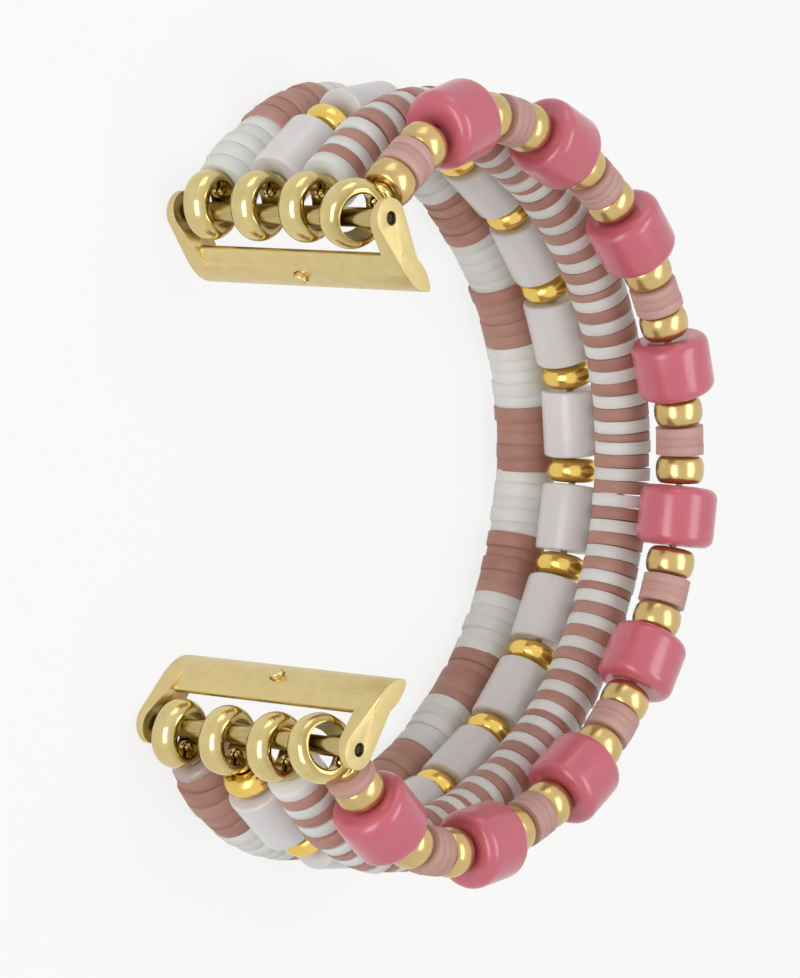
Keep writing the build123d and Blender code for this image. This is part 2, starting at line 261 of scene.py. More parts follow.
def polymer_clay(name, light, dark, roughness):
    """Polymer clay, rolled and baked: a soft, faintly chalky skin whose shade shifts disc to disc."""
    material, tree = new_material(name)
    place = add_node(tree, "ShaderNodeTexCoord").outputs["Object"]
    tone = add_node(tree, "ShaderNodeAttribute", attribute_name="tone").outputs["Fac"]
    # Chalky bloom, about a millimetre across
    bloom = add_node(tree, "ShaderNodeTexNoise", {
        "Vector": place,
        "Scale": 1 / bloom_size,
        "Detail": 4.0,
    })
    faint = add_node(tree, "ShaderNodeMath", {
        0: bloom.outputs["Fac"],
        1: bloom_share,
    }, operation="MULTIPLY")
    shade = add_node(tree, "ShaderNodeMath", {0: faint.outputs[0], 1: tone}, operation="ADD")
    colour = add_node(tree, "ShaderNodeMix", {
        "Factor": shade.outputs[0],
        mix_first: linear(light),
        mix_second: linear(dark),
    }, data_type="RGBA")
    # Knife drag and dust, drawn a little coarser than they are so that they show
    grain = add_node(tree, "ShaderNodeTexNoise", {
        "Vector": place,
        "Scale": 1 / grain_size,
        "Detail": 3.0,
    })
    bump = add_node(tree, "ShaderNodeBump", {
        "Height": grain.outputs["Fac"],
        "Strength": 0.12,
        "Distance": skin_depth,
    })
    rough = add_node(tree, "ShaderNodeMapRange", {
        "Value": bloom.outputs["Fac"],
        "To Min": roughness - clay_unevenness,
        "To Max": roughness + clay_unevenness,
    })
    shader = add_node(tree, "ShaderNodeBsdfPrincipled", {
        "Base Color": colour.outputs[mix_result],
        "Roughness": rough.outputs[0],
        "Normal": bump.outputs[0],
        "IOR": 1.5,
        "Subsurface Weight": 0.12,
        "Subsurface Scale": clay_glow,
    })
    finish_material(tree, shader)
    return material


def glazed(name, light, dark, roughness, coat):
    """Moulded and tumbled bead: an even glossy skin with the faintest clouding under it."""
    material, tree = new_material(name)
    place = add_node(tree, "ShaderNodeTexCoord").outputs["Object"]
    # Clouding a few millimetres across
    cloud = add_node(tree, "ShaderNodeTexNoise", {
        "Vector": place,
        "Scale": 1 / cloud_size,
        "Detail": 2.0,
    })
    colour = add_node(tree, "ShaderNodeMix", {
        "Factor": cloud.outputs["Fac"],
        mix_first: linear(light),
        mix_second: linear(dark),
    }, data_type="RGBA")
    # Orange peel of the tumbled skin, half a millimetre
    peel = add_node(tree, "ShaderNodeTexNoise", {
        "Vector": place,
        "Scale": 1 / peel_size,
        "Detail": 1.0,
    })
    bump = add_node(tree, "ShaderNodeBump", {
        "Height": peel.outputs["Fac"],
        "Strength": 0.05,
        "Distance": skin_depth,
    })
    rough = add_node(tree, "ShaderNodeMapRange", {
        "Value": cloud.outputs["Fac"],
        "To Min": roughness - glaze_unevenness,
        "To Max": roughness + glaze_unevenness,
    })
    shader = add_node(tree, "ShaderNodeBsdfPrincipled", {
        "Base Color": colour.outputs[mix_result],
        "Roughness": rough.outputs[0],
        "Normal": bump.outputs[0],
        "IOR": 1.52,
        "Subsurface Weight": 0.1,
        "Subsurface Scale": ceramic_glow,
        "Coat Weight": coat,
        "Coat Roughness": 0.16,
    })
    finish_material(tree, shader)
    return material


def plated(name, polished, shaded_and_hazed, roughness, ripple):
    """Gold over turned brass or aluminium: bright where handled, with patches of handling haze, and darker down
    its flanks and into its bore, which is painted shade and dark reflection.
    """
    material, tree = new_material(name)
    place = add_node(tree, "ShaderNodeTexCoord").outputs["Object"]
    # Painted shade and dark reflection: the gold darkens down its flank and into its bore
    flank = add_node(tree, "ShaderNodeAttribute", attribute_name="flank").outputs["Fac"]
    steep = add_node(tree, "ShaderNodeMath", {0: flank, 1: painted_shade_power}, operation="POWER")
    deep = add_node(tree, "ShaderNodeMath", {
        0: steep.outputs[0],
        1: painted_shade_share,
    }, operation="MULTIPLY")
    # Handling haze, patches of a millimetre or two
    haze = add_node(tree, "ShaderNodeTexNoise", {
        "Vector": place,
        "Scale": 1 / haze_size,
        "Detail": 3.0,
    })
    patches = add_node(tree, "ShaderNodeMapRange", {
        "Value": haze.outputs["Fac"],
        "From Min": haze_low,
        "From Max": haze_high,
        "To Max": haze_share,
    })
    shade_and_wear = add_node(tree, "ShaderNodeMath", {
        0: deep.outputs[0],
        1: patches.outputs[0],
    }, operation="ADD", use_clamp=True)
    colour = add_node(tree, "ShaderNodeMix", {
        "Factor": shade_and_wear.outputs[0],
        mix_first: linear(polished),
        mix_second: linear(shaded_and_hazed),
    }, data_type="RGBA")
    # Shallow dents of the tumbling barrel, most of a millimetre across
    dents = add_node(tree, "ShaderNodeTexNoise", {
        "Vector": place,
        "Scale": 1 / dent_size,
        "Detail": 0.0,
    })
    bump = add_node(tree, "ShaderNodeBump", {
        "Height": dents.outputs["Fac"],
        "Strength": ripple,
        "Distance": dent_depth,
    })
    rough = add_node(tree, "ShaderNodeMapRange", {
        "Value": haze.outputs["Fac"],
        "To Min": roughness - gold_unevenness,
        "To Max": roughness + gold_unevenness,
    })
    shader = add_node(tree, "ShaderNodeBsdfPrincipled", {
        "Base Color": colour.outputs[mix_result],
        "Roughness": rough.outputs[0],
        "Normal": bump.outputs[0],
        "Metallic": 1.0,
    })
    finish_material(tree, shader)
    return material


def steel(name, light, dark, roughness):
    """Stainless steel, drawn along its length: fine lines along the bar."""
    material, tree = new_material(name)
    place = add_node(tree, "ShaderNodeTexCoord").outputs["Object"]
    stretched = add_node(tree, "ShaderNodeMapping", {
        "Vector": place,
        "Scale": (1.0, 1.0, drawn_line_stretch),
    })
    lines = add_node(tree, "ShaderNodeTexNoise", {
        "Vector": stretched.outputs[0],
        "Scale": 1 / drawn_line_size,
        "Detail": 2.0,
    })
    colour = add_node(tree, "ShaderNodeMix", {
        "Factor": lines.outputs["Fac"],
        mix_first: linear(light),
        mix_second: linear(dark),
    }, data_type="RGBA")
    rough = add_node(tree, "ShaderNodeMapRange", {
        "Value": lines.outputs["Fac"],
        "To Min": roughness - steel_unevenness,
        "To Max": roughness + steel_unevenness,
    })
    shader = add_node(tree, "ShaderNodeBsdfPrincipled", {
        "Base Color": colour.outputs[mix_result],
        "Roughness": rough.outputs[0],
        "Metallic": 1.0,
    })
    finish_material(tree, shader)
    return material


def clear(name, light, dark, roughness, passing):
    """Clear moulded resin or drawn elastic: bright edges, with a trace of milkiness inside."""
    material, tree = new_material(name)
    place = add_node(tree, "ShaderNodeTexCoord").outputs["Object"]
    # Flow lines from the mould, a millimetre apart
    flow = add_node(tree, "ShaderNodeTexNoise", {
        "Vector": place,
        "Scale": 1 / flow_line_size,
        "Detail": 2.0,
    })
    colour = add_node(tree, "ShaderNodeMix", {
        "Factor": flow.outputs["Fac"],
        mix_first: linear(light),
        mix_second: linear(dark),
    }, data_type="RGBA")
    rough = add_node(tree, "ShaderNodeMapRange", {
        "Value": flow.outputs["Fac"],
        "To Min": roughness,
        "To Max": roughness + clear_unevenness,
    })
    shader = add_node(tree, "ShaderNodeBsdfPrincipled", {
        "Base Color": colour.outputs[mix_result],
        "Roughness": rough.outputs[0],
        "Transmission Weight": passing,
        "IOR": 1.5,
    })
    finish_material(tree, shader)
    return material


rose_clay = polymer_clay("rose_polymer_clay", "#C49687", "#AE7C6E", roughness=0.5)
white_clay = polymer_clay("white_polymer_clay", "#F0F1EE", "#E2E3DF", roughness=0.5)
dusty_clay = polymer_clay("dusty_pink_polymer_clay", "#D6ACA2", "#C4948A", roughness=0.5)
white_ceramic = glazed("white_satin_ceramic", "#EAE7E6", "#E1DEDE", roughness=0.34, coat=0.2)
pink_ceramic = glazed("pink_glazed_ceramic", "#D8697B", "#C85A6B", roughness=0.3, coat=0.5)
# The second colour of each gold is the colour of its handling haze and, on turned pieces, painted shade and dark
# reflection down the flanks and into the bore
ring_gold = plated("polished_gold_plate", "#DCC88C", "#937C40", roughness=0.15, ripple=0.04)
spacer_gold = plated("pale_gold_plate", "#CFB379", "#7C622F", roughness=0.24, ripple=0.1)
rondelle_gold = plated("deep_gold_plate", "#EBC86C", "#CBA54C", roughness=0.2, ripple=0.08)
adapter_gold = plated("satin_gold_anodised", "#DBC78D", "#B09C62", roughness=0.36, ripple=0.02)
bar_steel = steel("gold_toned_stainless_steel", "#D2BD83", "#A28F5A", roughness=0.24)
# Painted shade: the plungers are coloured near black for the shade of the hole that their tips sit in
shaded_tip_steel = steel("blackened_spring_bar_steel", "#4A443C", "#2C2824", roughness=0.45)
spring_steel = steel("spring_wire_steel", "#B0B0AC", "#8C8C88", roughness=0.35)
clear_resin = clear("clear_moulded_resin", "#FAF2F0", "#F0E4E2", roughness=0.14, passing=0.55)
clear_elastic = clear("clear_elastic_cord", "#F8F6F2", "#ECEAE6", roughness=0.25, passing=0.4)


# Modelling aids
def begin():
    """Leaves edit mode, with nothing selected."""
    if bpy.context.mode != "OBJECT":
        bpy.ops.object.mode_set(mode="OBJECT")
    bpy.ops.object.select_all(action="DESELECT")


def choose(*pieces):
    """Selects these pieces alone, and makes the first one active."""
    begin()
    for piece in pieces:
        piece.select_set(True)
    bpy.context.view_layer.objects.active = pieces[0]


def edit(piece):
    """Enters edit mode on one piece, with nothing selected in it."""
    choose(piece)
    bpy.ops.object.mode_set(mode="EDIT")
    bpy.ops.mesh.select_all(action="DESELECT")


def pick(piece, mode, wanted):
    """In edit mode, selects the vertices or faces that the test wants, by their place or normal."""
    bpy.ops.mesh.select_mode(type=mode)
    bpy.ops.mesh.select_all(action="DESELECT")
    shape = bmesh.from_edit_mesh(piece.data)
    parts = {"VERT": shape.verts, "FACE": shape.faces}[mode]
    for part in parts:
        part.select_set(wanted(part))
    shape.select_flush_mode()
    bmesh.update_edit_mesh(piece.data)


def bake_place(piece):
    """Puts the object's place into its mesh."""
    choose(piece)
    bpy.ops.object.transform_apply(location=True, rotation=True, scale=True)


def smooth(piece, degrees=smooth_angle):
    """Shades a piece smooth, except where its faces meet at more than this angle."""
    choose(piece)
    bpy.ops.object.shade_smooth_by_angle(angle=math.radians(degrees))


def turned(radius, length, bore, rim, rim_steps, sides, dome=1):
    """A bored piece turned about Z: a rectangular section, its corners rounded, spun round the hole.

    A dome above 1 draws the round corners out along the axis.
    """
    length /= dome
    middle = (bore + radius) / 2
    just_outside_bore = bore + radius / 1000
    begin()
    bpy.ops.mesh.primitive_plane_add(size=1, location=(middle, 0, 0), rotation=(math.pi / 2, 0, 0))
    piece = bpy.context.active_object
    piece.scale = (radius - bore, length, 1)
    bake_place(piece)
    edit(piece)
    pick(piece, "VERT", lambda v: v.co.x > middle)
    bpy.ops.mesh.bevel(
        offset=rim,
        offset_type="OFFSET",
        segments=rim_steps,
        affect="VERTICES",
        clamp_overlap=False,
    )
    pick(piece, "VERT", lambda v: v.co.x < just_outside_bore)
    bpy.ops.mesh.bevel(offset=mouth_rim, offset_type="OFFSET", segments=2, affect="VERTICES")
    bpy.ops.mesh.select_all(action="SELECT")
    bpy.ops.mesh.delete(type="ONLY_FACE")
    bpy.ops.mesh.select_all(action="SELECT")
    bpy.ops.mesh.spin(
        steps=sides,
        angle=2 * math.pi,
        center=(0, 0, 0),
        axis=(0, 0, 1),
        use_auto_merge=True,
    )
    bpy.ops.mesh.select_all(action="SELECT")
    bpy.ops.mesh.remove_doubles(threshold=length / 100000)
    bpy.ops.mesh.normals_make_consistent(inside=False)
    begin()
    piece.data.transform(Matrix.Diagonal((1, 1, dome, 1)))
    # How far down its flank each point is, for the painted shade and dark reflection on gold: 0 at the widest, 1
    # at the bore
    flank = piece.data.attributes.new("flank", "FLOAT", "POINT")
    falls = [(radius - math.hypot(v.co.x, v.co.y)) / (radius - bore) for v in piece.data.vertices]
    flank.data.foreach_set("value", falls)
    smooth(piece)
    return piece


def rod(radius, length, rim, rim_steps, sides):
    """A solid round piece about Z, with both its rims rounded."""
    begin()
    bpy.ops.mesh.primitive_cylinder_add(vertices=sides, radius=radius, depth=length)
    piece = bpy.context.active_object
    edit(piece)
    pick(piece, "FACE", lambda f: abs(f.normal.z) > facing)
    bpy.ops.mesh.region_to_loop()
    bpy.ops.mesh.bevel(offset=rim, segments=rim_steps)
    smooth(piece, rod_smooth_angle)
    return piece


def plunger(tip_length, way):
    """A spring bar's plunger about Z: its stem, and its thinner tip at the upper or lower end."""
    begin()
    bpy.ops.mesh.primitive_cylinder_add(vertices=pin_sides, radius=stem_radius, depth=stem_length)
    piece = bpy.context.active_object
    piece.location.z = -way * tip_length / 2
    bake_place(piece)
    edit(piece)
    pick(piece, "FACE", lambda f: f.normal.z * way > facing)
    bpy.ops.mesh.inset(thickness=stem_radius - tip_radius)
    bpy.ops.mesh.extrude_region_move(TRANSFORM_OT_translate={"value": (0, 0, tip_length * way)})
    bpy.ops.mesh.region_to_loop()
    bpy.ops.mesh.bevel(offset=tip_edge, segments=edge_steps)
    smooth(piece)
    return piece


def coil_spring(radius, low, high, turns):
    """An open coil of round wire about Z, its wire's middle climbing from low to high."""
    begin()
    bpy.ops.mesh.primitive_circle_add(
        vertices=wire_sides,
        radius=wire_radius,
        location=(radius, 0, low),
        rotation=(math.pi / 2, 0, 0),
    )
    piece = bpy.context.active_object
    bake_place(piece)
    winding = piece.modifiers.new("winding", "SCREW")
    winding.steps = winding.render_steps = wire_turn_steps
    winding.iterations = turns
    winding.screw_offset = (high - low) / turns
    bpy.ops.object.modifier_apply(modifier="winding")
    edit(piece)
    bpy.ops.mesh.select_all(action="SELECT")
    bpy.ops.mesh.fill_holes(sides=wire_sides)
    bpy.ops.mesh.select_all(action="SELECT")
    bpy.ops.mesh.normals_make_consistent(inside=False)
    smooth(piece, thread_smooth_angle)
    return piece


def latch_cup():
    """The latch's button about Z: its crown with a broken edge above, the cup for its spring below."""
    begin()
    bpy.ops.mesh.primitive_cylinder_add(vertices=pin_sides, radius=button_radius, depth=button_length)
    piece = bpy.context.active_object
    edit(piece)
    pick(piece, "FACE", lambda f: f.normal.z < -facing)
    bpy.ops.mesh.inset(thickness=button_wall)
    bpy.ops.mesh.extrude_region_move(TRANSFORM_OT_translate={"value": (0, 0, button_cup)})
    pick(piece, "FACE", lambda f: f.normal.z > facing)
    bpy.ops.mesh.region_to_loop()
    bpy.ops.mesh.bevel(offset=button_edge, segments=edge_steps)
    smooth(piece)
    return piece


def solids(node):
    """Each solid of a CAD node, as its corners and its faces' normals and areas."""
    mesh = frame["nodes"][node].data
    places = np.array([v.co for v in mesh.vertices])
    steps = np.round(places * steps_per_metre).astype(int)
    keys, same = np.unique(steps, axis=0, return_inverse=True)
    same = same.reshape(-1)
    leader = list(range(len(keys)))

    def find(i):
        while leader[i] != i:
            leader[i] = leader[leader[i]]
            i = leader[i]
        return i

    for face in mesh.polygons:
        corners = [find(same[i]) for i in face.vertices]
        for corner in corners[1:]:
            leader[find(corner)] = find(corners[0])
    groups = {}
    for i, key in enumerate(keys):
        groups.setdefault(find(i), ([], []))[0].append(key / steps_per_metre)
    for face in mesh.polygons:
        groups[find(same[face.vertices[0]])][1].append((face.normal.copy(), face.area))
    return [(np.array(corners), faces) for corners, faces in groups.values()]


def main_axis(faces):
    """The direction that most of a solid's skin faces, which is a turned piece's own axis."""
    areas = {}
    for normal, area in faces:
        # Opposite faces count together
        if normal.x < -level_limit or (abs(normal.x) <= level_limit and normal.y < 0):
            normal = -normal
        key = tuple(round(c, 2) for c in normal)
        total, direction = areas.get(key, (0, normal))
        areas[key] = (total + area, direction)
    return max(areas.values(), key=lambda entry: entry[0])[1].normalized()


def placed(centre, x, y, z):
    """The frame at a place whose axes point in these three directions."""
    return Matrix.Translation(centre) @ Matrix((x, y, z)).transposed().to_4x4()


def seats(node):
    """Where each bead of a node sits: its frame, its radius and its length.

    Z of the frame is along the strand and X points inwards.
    """
    found = []
    for corners, faces in solids(node):
        heading = main_axis(faces)
        heading = Vector((heading.x, heading.y, 0)).normalized()
        centre = Vector(corners.mean(0))
        away = centre - band_middle
        if heading.x * away.y - heading.y * away.x > 0:
            heading = -heading
        inward = Vector((-heading.y, heading.x, 0))
        along = (corners - np.array(centre)) @ np.array(heading)
        across = (corners - np.array(centre)) @ np.array(inward)
        centre += heading * (along.max() + along.min()) / 2
        seat = placed(centre, inward, heading.cross(inward), heading)
        found.append((seat, float(across.max()), float(along.max() - along.min())))
    return found


def level_seat(place, strand):
    """A seat at a place, with Z along a level strand and X up."""
    upright = Vector((0, 0, 1))
    return placed(place, upright, strand.cross(upright), strand)


def copies(name, model, places, tones=False):
    """Copies of a model, one at each place, joined as one piece."""
    made = []
    for place in places:
        copy = model.copy()
        copy.data = model.data.copy()
        bpy.context.scene.collection.objects.link(copy)
        if tones:
            tone = copy.data.attributes.new("tone", "FLOAT", "POINT")
            shade = random.uniform(0.0, tone_range)
            tone.data.foreach_set("value", [shade] * len(copy.data.vertices))
        copy.data.transform(place)
        made.append(copy)
    choose(*made)
    if len(made) > 1:
        bpy.ops.object.join()
    piece = bpy.context.active_object
    piece.name = name
    return piece


def dress(piece, material, body, slot, *nodes):
    """Gives a finished piece its material and body, and hides the CAD nodes that it stands for. The slot is not
    used.
    """
    piece.data.materials.clear()
    piece.data.materials.append(material)
    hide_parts(*nodes)
    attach(piece, body)


def body_of(node):
    """The body that carries a node."""
    for body, names in frame["record"]["behaviour"]["bodies"].items():
        if node in names:
            return body
    raise ValueError(node)


def seat_beads(name, model, places, material, slot, node, tones=False):
    """Puts a bead's copies in their places as one piece, and takes the model itself away."""
    piece = copies(name, model, places, tones)
    bpy.data.objects.remove(model)
    dress(piece, material, body_of(node), slot, node)


# Beads
def bead_row(kind, material, slot, rim, sides, dome=1, share=1):
    """One kind of turned bead, in all three arcs of the band."""
    for arc in arcs:
        node = f"{arc}_{kind}"
        found = seats(node)
        _, radius, length = found[0]
        model = turned(radius * share, length, bead_bore, rim, rim_steps=6, sides=sides, dome=dome)
        places = [seat for seat, _, _ in found]
        seat_beads(f"{arc}_{kind}_turned", model, places, material, slot, node)


def turn_of(place):
    """How far round the loop a place lies, from the middle of the band's back."""
    return math.atan2(place.x - band_middle.x, place.y)


def bends(kind):
    """By the place of each bead of a strand, the turn and the distance from one bead to the next."""
    strand = kind[:len("strand_1")]
    nodes = [node for node in frame["nodes"] if strand in node]
    row = [seat for node in nodes for seat, _, _ in seats(node)]
    row.sort(key=lambda seat: turn_of(seat.translation))
    headings = [seat.col[2].xyz for seat in row]
    last = len(row) - 1
    found = {}
    for i, seat in enumerate(row):
        before = max(i - 1, 0)
        after = min(i + 1, last)
        steps = after - before
        turning = headings[before].angle(headings[after]) / steps
        reach = (row[before].translation - seat.translation).length
        reach += (row[after].translation - seat.translation).length
        found[tuple(seat.translation)] = (turning, reach / steps)
    return found


def bent(seat, step, length, turning):
    """A place along a block whose discs follow the loop, which turns inwards along it."""
    share = step / length
    shift = Matrix.Translation((turning * share * step / 2, 0, step))
    return seat @ shift @ Matrix.Rotation(turning * share, 4, "Y")


def unsettled(seat, loose):
    """A seat, shifted and tipped as one loose disc on an elastic cord is."""
    inward = random.uniform(-disc_shift, disc_shift)
    upward = random.uniform(-disc_lift, disc_lift)
    shift = Vector((inward, upward, 0)) * loose
    swell = 1 + random.uniform(-disc_swell, 0)
    tip = Matrix.Rotation(random.uniform(-disc_lean, disc_lean), 4, "X")
    tip = tip @ Matrix.Rotation(random.uniform(-disc_lean, disc_lean), 4, "Y")
    return seat @ Matrix.Translation(shift) @ tip @ Matrix.Diagonal((swell, swell, 1, 1))


def disc_row(kind, material, slot, thickness, rim, swell=1, loose=1, share=1, filled=False):
    """Clay discs: each CAD block is cut back into the discs that it is made of.

    A swell above 1 presses discs of one colour into each other. Filled blocks reach the next ones.
    """
    turnings = bends(kind)
    for arc in arcs:
        node = f"{arc}_{kind}"
        places = []
        for seat, radius, length in seats(node):
            count = max(round(length / thickness), 1)
            turning, reach = turnings[tuple(seat.translation)]
            if filled:
                length = reach
            for i in range(count):
                step = ((i + 0.5) / count - 0.5) * length
                stretch = Matrix.Diagonal((1, 1, swell * length / count / thickness, 1))
                place = bent(seat, step, length, turning)
                places.append(unsettled(place, loose) @ stretch)
        model = rod(radius * share, thickness, rim, rim_steps=1, sides=disc_sides)
        seat_beads(f"{arc}_{kind}_cut", model, places, material, slot, node, tones=True)


clays = (("rose", rose_clay), ("white", white_clay))
for colour, clay in clays:
    disc_row(
        f"strand_1_{colour}_discs",
        clay,
        f"{colour}_clay",
        disc_thickness,
        pressed_rim,
        pressed_swell,
        filled=True,
    )
for colour, clay in clays:
    disc_row(
        f"strand_3_{colour}_discs",
        clay,
        f"{colour}_clay",
        disc_thickness,
        disc_rim,
        loose=striped_shift,
        share=strand_3_share,
    )
disc_row(
    "strand_4_dusty_discs",
    dusty_clay,
    "dusty_clay",
    dusty_thickness,
    pressed_rim,
    pressed_swell,
    loose=pressed_shift,
    share=strand_4_share,
)
bead_row("strand_2_white_tubes", white_ceramic, "white_tube", tube_rim, sides=48)
bead_row("strand_2_gold_rondelles", rondelle_gold, "deep_gold", rondelle_rim, sides=40)
bead_row(
    "strand_4_gold_spacers",
    spacer_gold,
    "pale_gold",
    spacer_rim,
    sides=40,
    dome=spacer_dome,
    share=strand_4_share,
)

for number in pink_numbers:
    node = f"pink_bead_{number}"
    seat, radius, length = seats(node)[0]
    model = turned(radius * strand_4_share, length, pink_bore, pink_rim, rim_steps=8, sides=64)
    seat_beads(f"{node}_glazed", model, [seat], pink_ceramic, "pink_bead", node)

seat, radius, length = seats("clear_end_bead")[0]
model = turned(radius, length, bead_bore, clear_rim, rim_steps=6, sides=48)
seat_beads("clear_end_bead_moulded", model, [seat], clear_resin, "clear_bead", "clear_end_bead")


# Rings, each with its boss, eyelet and the pin that grips its cord
def ring_places(node):
    """A ring's seat, its strand's direction, and the tip of its boss."""
    corners, faces = solids(node)[0]
    axis = main_axis(faces)
    if axis.z < 0:
        axis = -axis
    height = corners @ np.array(axis)
    low, high = height.min() + rim_tolerance, height.max() - rim_tolerance
    centre = Vector(corners[(height > high) | (height < low)].mean(0))
    bar = box_middle(node.split("_")[0] + "_bar_tube")
    strand = Vector((centre.x - bar.x, centre.y - bar.y, 0)).normalized()
    reach = corners @ np.array(strand)
    tip = Vector(corners[reach > reach.max() - rim_tolerance].mean(0))
    side = axis.cross(strand).normalized()
    return placed(centre, side.cross(axis), side, axis), strand, tip


ring_tips = {}
for end in ends:
    for number in strand_numbers:
        node = f"{end}_ring_{number}"
        seat, strand, tip = ring_places(node)
        ring_tips[end, number] = (strand, tip)
        hoop = turned(ring_radius, ring_width, ring_bore, ring_rim, rim_steps=12, sides=80, dome=ring_dome)
        hoop.data.transform(seat)
        hoop.name = f"{node}_domed"
        boss = turned(boss_radius, boss_length, eyelet_radius, boss_rim, rim_steps=4, sides=40)
        boss.data.transform(level_seat(tip - strand * boss_length / 2, strand))
        boss.name = f"{node}_boss"
        head = rod(pin_head_radius, pin_head_length, pin_head_rim, rim_steps=6, sides=pin_sides)
        head.data.transform(level_seat(tip - strand * pin_depth, strand))
        head.name = f"{node}_pin_head"
        sleeve = turned(pin_radius, pin_depth, cord_radius, sleeve_rim, rim_steps=2, sides=pin_sides)
        sleeve.data.transform(level_seat(tip - strand * pin_depth / 2, strand))
        sleeve.name = f"{node}_pin_sleeve"
        for piece in (hoop, boss, head, sleeve):
            dress(piece, ring_gold, f"band_{end}", "ring_gold", node)


# Cords
def strand_places(number):
    """The middles of one strand's beads, in order from the upper end to the lower."""
    nodes = [node for node in frame["nodes"] if f"_strand_{number}_" in node]
    if number == 4:
        nodes += [f"pink_bead_{bead}" for bead in pink_numbers]
    places = [seat.translation for node in nodes for seat, _, _ in seats(node)]
    return sorted(places, key=turn_of)


def cord_half(end, number):
    """One cord from its ring to the bead nearest the middle of the band's back."""
    places = strand_places(number)
    middle = min(range(len(places)), key=lambda i: abs(turn_of(places[i])))
    strand, tip = ring_tips[end, number]
    if end == "upper":
        places = places[:middle + 1]
    else:
        places = places[:middle - 1:-1]
    places = [tip - strand * pin_depth, tip] + places
    data = bpy.data.curves.new(f"{end}_cord_{number}", "CURVE")
    data.dimensions = "3D"
    data.bevel_depth = cord_radius
    data.bevel_resolution = 2
    data.resolution_u = 3
    data.use_fill_caps = True
    line = data.splines.new("BEZIER")
    line.bezier_points.add(len(places) - 1)
    for point, place in zip(line.bezier_points, places):
        point.co = place
        point.handle_left_type = point.handle_right_type = "AUTO"
    cord = bpy.data.objects.new(f"{end}_cord_{number}", data)
    bpy.context.scene.collection.objects.link(cord)
    return cord


def elastic_cords(end):
    """One end's four cords, joined as one piece."""
    choose(*[cord_half(end, number) for number in strand_numbers])
    bpy.ops.object.convert(target="MESH")
    bpy.ops.object.join()
    piece = bpy.context.active_object
    piece.name = f"{end}_elastic_cords_drawn"
    smooth(piece, thread_smooth_angle)
    return piece


joints = {joint["name"]: joint for joint in frame["joints"]}
for end in ends:
    piece = elastic_cords(end)
    piece.data.materials.clear()
    piece.data.materials.append(clear_elastic)
    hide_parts(f"{end}_elastic_cords", "back_elastic_cords")
    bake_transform(piece)


# Adapters, spring bars and latches
def machined(node):
    """The CAD piece itself, with its facets merged and its edges broken."""
    source = frame["nodes"][node]
    piece = source.copy()
    piece.data = source.data.copy()
    piece.parent = None
    # The copy drops the marks that belong to the CAD node
    for key in list(piece.keys()):
        del piece[key]
    bpy.context.scene.collection.objects.link(piece)
    piece.name = f"{node}_machined"
    piece.matrix_world = Matrix.Identity(4)
    edit(piece)
    bpy.ops.mesh.select_all(action="SELECT")
    bpy.ops.mesh.remove_doubles(threshold=weld_distance)
    bpy.ops.mesh.dissolve_limited(angle_limit=math.radians(flat_angle))
    choose(piece)
    rounding = piece.modifiers.new("edge", "BEVEL")
    rounding.width = machined_edge
    rounding.segments = edge_steps
    rounding.limit_method = "ANGLE"
    rounding.angle_limit = math.radians(sharp_angle)
    bpy.ops.object.modifier_apply(modifier="edge")
    smooth(piece, sharp_angle)
    return piece


def set_upright(piece, name, node, material, body, slot):
    """Puts a piece made about Z in an upright node's place."""
    piece.data.transform(Matrix.Translation(box_middle(node)))
    piece.name = name
    dress(piece, material, body, slot, node)


def height_of(node):
    """How high a node's box is."""
    low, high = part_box(node)
    return high.z - low.z


for end in ends:
    adapter = machined(f"{end}_adapter")
    dress(adapter, adapter_gold, f"{end}_adapter_rail", "adapter_gold", f"{end}_adapter")

    node = f"{end}_bar_tube"
    tube = turned(bar_radius, height_of(node), bar_bore, bar_edge, rim_steps=3, sides=48)
    set_upright(tube, f"{node}_turned", node, bar_steel, f"{end}_spring_bar", "bar_steel")
    spring_reach = height_of(f"{end}_bar_spring") / 2
    for letter, way in (("a", -1), ("b", 1)):
        node = f"{end}_bar_plunger_{letter}"
        body = f"{end}_plunger_{letter}"
        pin = plunger(height_of(node) - stem_length, way)
        # The plunger takes the near-black painted shade of its hole
        set_upright(pin, f"{node}_turned", node, shaded_tip_steel, body, "bar_steel")
        # The half of the spring that this plunger presses, held still at the bar's middle
        node = f"{end}_bar_spring"
        body = f"{end}_spring_bar"
        low, high = sorted((0, way * (spring_reach - wire_radius)))
        spring = coil_spring(bar_spring_radius, low, high, bar_spring_half_turns)
        set_upright(spring, f"{node}_wound_{letter}", node, spring_steel, body, "spring_steel")
        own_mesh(spring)

    outward = -Vector(joints[f"{end}_latch_press"]["axis"]).normalized()
    node = f"{end}_latch_button"
    button = latch_cup()
    button.data.transform(level_seat(seats(node)[0][0].translation, outward))
    button.name = f"{node}_turned"
    dress(button, adapter_gold, f"{end}_latch", "adapter_gold", node)
    node = f"{end}_latch_spring"
    wound = button_cup / 2 - wire_radius
    spring = coil_spring(latch_spring_radius, -wound, wound, latch_spring_turns)
    spring.data.transform(level_seat(box_middle(node), outward))
    spring.name = f"{node}_wound"
    dress(spring, spring_steel, f"{end}_adapter_rail", "spring_steel", node)


# Camera, lamps and floor
def photo_axes():
    """The camera's right, up and backward directions, in the frame's axes."""
    back = Vector((
        -math.sin(camera_rise),
        -math.cos(camera_turn) * math.cos(camera_rise),
        math.sin(camera_turn) * math.cos(camera_rise),
    ))
    level = (-back).cross(Vector((-1, 0, 0))).normalized()
    upright = level.cross(-back)
    right = level * math.cos(camera_roll) + upright * math.sin(camera_roll)
    up = upright * math.cos(camera_roll) - level * math.sin(camera_roll)
    return right, up, back


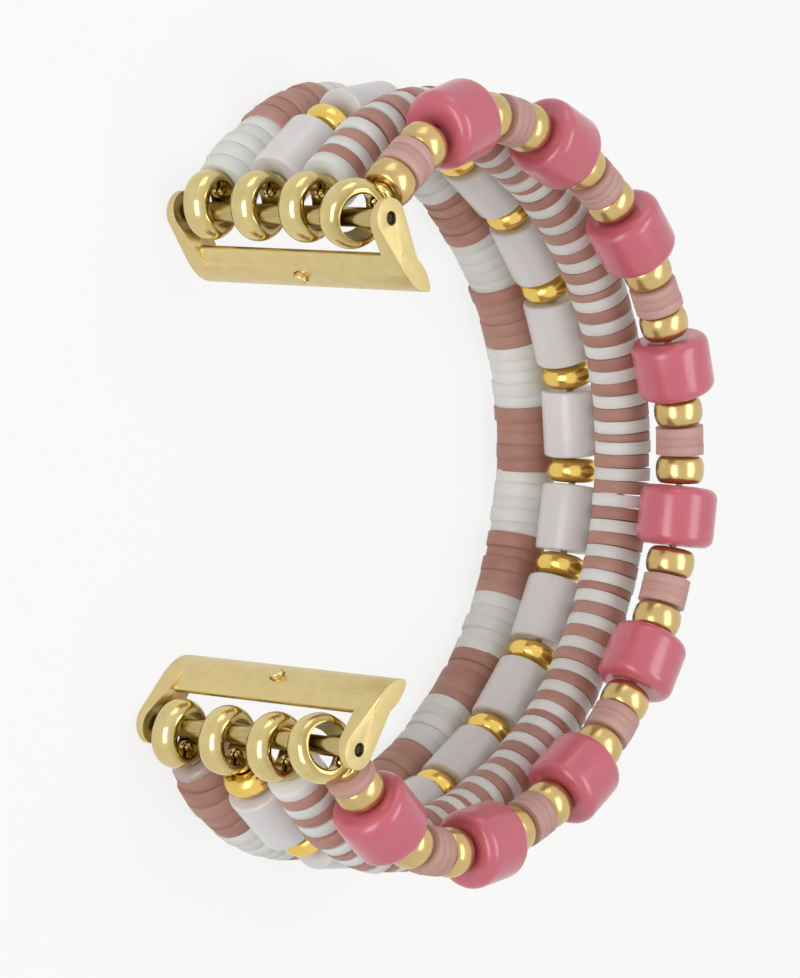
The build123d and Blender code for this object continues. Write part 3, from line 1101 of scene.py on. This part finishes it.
right, up, back = photo_axes()
aim = Vector((
    band_middle.x + aim_towards_end,
    bar_y + aim_behind_bars,
    band_middle.z + aim_across,
))
bpy.ops.object.camera_add()
camera = bpy.context.active_object
camera.matrix_world = placed(aim + back * camera_distance, right, up, back)
camera.data.sensor_fit = "HORIZONTAL"
camera.data.sensor_width = camera_sensor
camera.data.lens = camera_lens
bpy.context.scene.camera = camera


def softbox(name, across, above, towards, width, height, power):
    """A soft lamp, placed by the camera's own directions and turned to the band."""
    bpy.ops.object.light_add(type="AREA")
    lamp = bpy.context.active_object
    lamp.name = name
    lamp.data.shape = "RECTANGLE"
    lamp.data.size = width
    lamp.data.size_y = height
    lamp.data.energy = power
    offset = right * across + up * above + back * towards
    rearward = offset.normalized()
    sideways = up.cross(rearward).normalized()
    lamp.matrix_world = placed(aim + offset, sideways, rearward.cross(sideways), rearward)


softbox("softbox_front", across=-0.22, above=-0.07, towards=0.4, width=0.2, height=0.36, power=0.8)
softbox("softbox_right", across=0.38, above=0.0, towards=0.26, width=0.22, height=0.46, power=0.95)
softbox("softbox_over", across=0.0, above=0.42, towards=0.12, width=0.25, height=0.25, power=0.2)


def seen_rays(tree):
    """1 for rays that look, also in a reflection or through a clear piece, and 0 for rays that light."""
    path = add_node(tree, "ShaderNodeLightPath")
    looked = add_node(tree, "ShaderNodeMath", {
        0: path.outputs["Is Camera Ray"],
        1: path.outputs["Is Transmission Ray"],
    }, operation="MAXIMUM")
    seen = add_node(tree, "ShaderNodeMath", {
        0: looked.outputs[0],
        1: path.outputs["Is Glossy Ray"],
    }, operation="MAXIMUM")
    return seen.outputs[0]


plain_white = linear("#FFFFFF")
world = bpy.data.worlds.new("pale_studio")
bpy.context.scene.world = world
world.use_nodes = True
tree = world.node_tree
tree.nodes.clear()
dim = add_node(tree, "ShaderNodeBackground", {"Color": plain_white, "Strength": room_light})
bright = add_node(tree, "ShaderNodeBackground", {"Color": plain_white, "Strength": 1.0})
sky = add_node(tree, "ShaderNodeMixShader", {
    0: seen_rays(tree),
    1: dim.outputs[0],
    2: bright.outputs[0],
})
add_node(tree, "ShaderNodeOutputWorld", {"Surface": sky.outputs[0]})

begin()
bpy.ops.mesh.primitive_plane_add(size=floor_size)
floor = bpy.context.active_object
floor.name = "studio_floor"
floor_paper, tree = new_material("white_paper_floor")
paper = add_node(tree, "ShaderNodeBsdfDiffuse", {"Color": linear("#F4F4F4")})
glow = add_node(tree, "ShaderNodeEmission", {"Color": plain_white, "Strength": 1.0})
# Part of what is seen is the lit paper, so that the band's shadow stays on it
share = add_node(tree, "ShaderNodeMath", {
    0: seen_rays(tree),
    1: floor_glow_share,
}, operation="MULTIPLY")
surface = add_node(tree, "ShaderNodeMixShader", {
    0: share.outputs[0],
    1: paper.outputs[0],
    2: glow.outputs[0],
})
add_node(tree, "ShaderNodeOutputMaterial", {"Surface": surface.outputs[0]})
floor.data.materials.append(floor_paper)

bpy.context.scene.view_settings.view_transform = "Standard"
